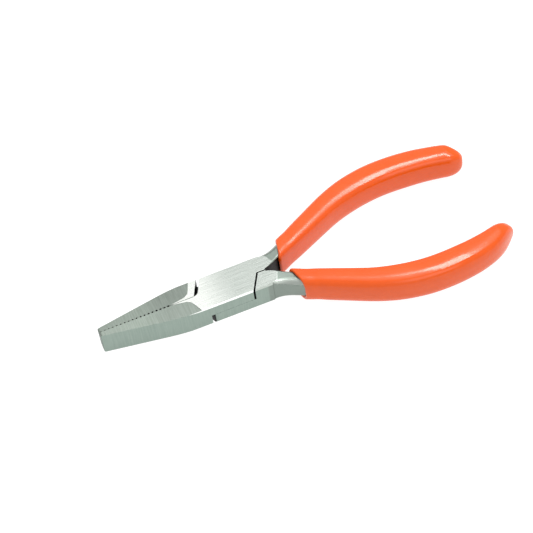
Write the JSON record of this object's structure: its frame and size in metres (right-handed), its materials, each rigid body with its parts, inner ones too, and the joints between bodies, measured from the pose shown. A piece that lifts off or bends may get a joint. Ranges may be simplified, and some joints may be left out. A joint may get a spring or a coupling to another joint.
{
  "type": "flat nose pliers",
  "caption": "Flat nose pliers with a flush riveted lap joint, serrated jaws and dipped plastic grips, for holding and bending wire.",
  "frame": {"origin": "on the pivot axis, at the flat underside of the joint", "axes": "+Z along the pivot axis, up out of the joint; +X from the pivot towards the handle ends, with the jaws along -X; Y across the tool, with the top half's handle at +Y"},
  "size_m": [0.1299, 0.054, 0.0106],
  "materials": {
    "steel": "ground satin, brushed crosswise on the jaws and lengthwise on the joint's flats",
    "rivet_steel": "ground flush with the joint and brushed with it",
    "grip": "glossy dipped vinyl, slightly mottled"
  },
  "bodies": {
    "top": {"top_half": "steel", "pivot_rivet": "rivet_steel", "top_half_grip": "grip"},
    "bottom": {"bottom_half": "steel", "bottom_half_grip": "grip"}
  },
  "joints": [
    {"name": "jaw_pivot", "type": "hinge", "parent": "top", "child": "bottom", "pos_m": [0, 0, 0.0039], "axis": [0, 0, -1], "range_deg": [0, 35]}
  ]
}
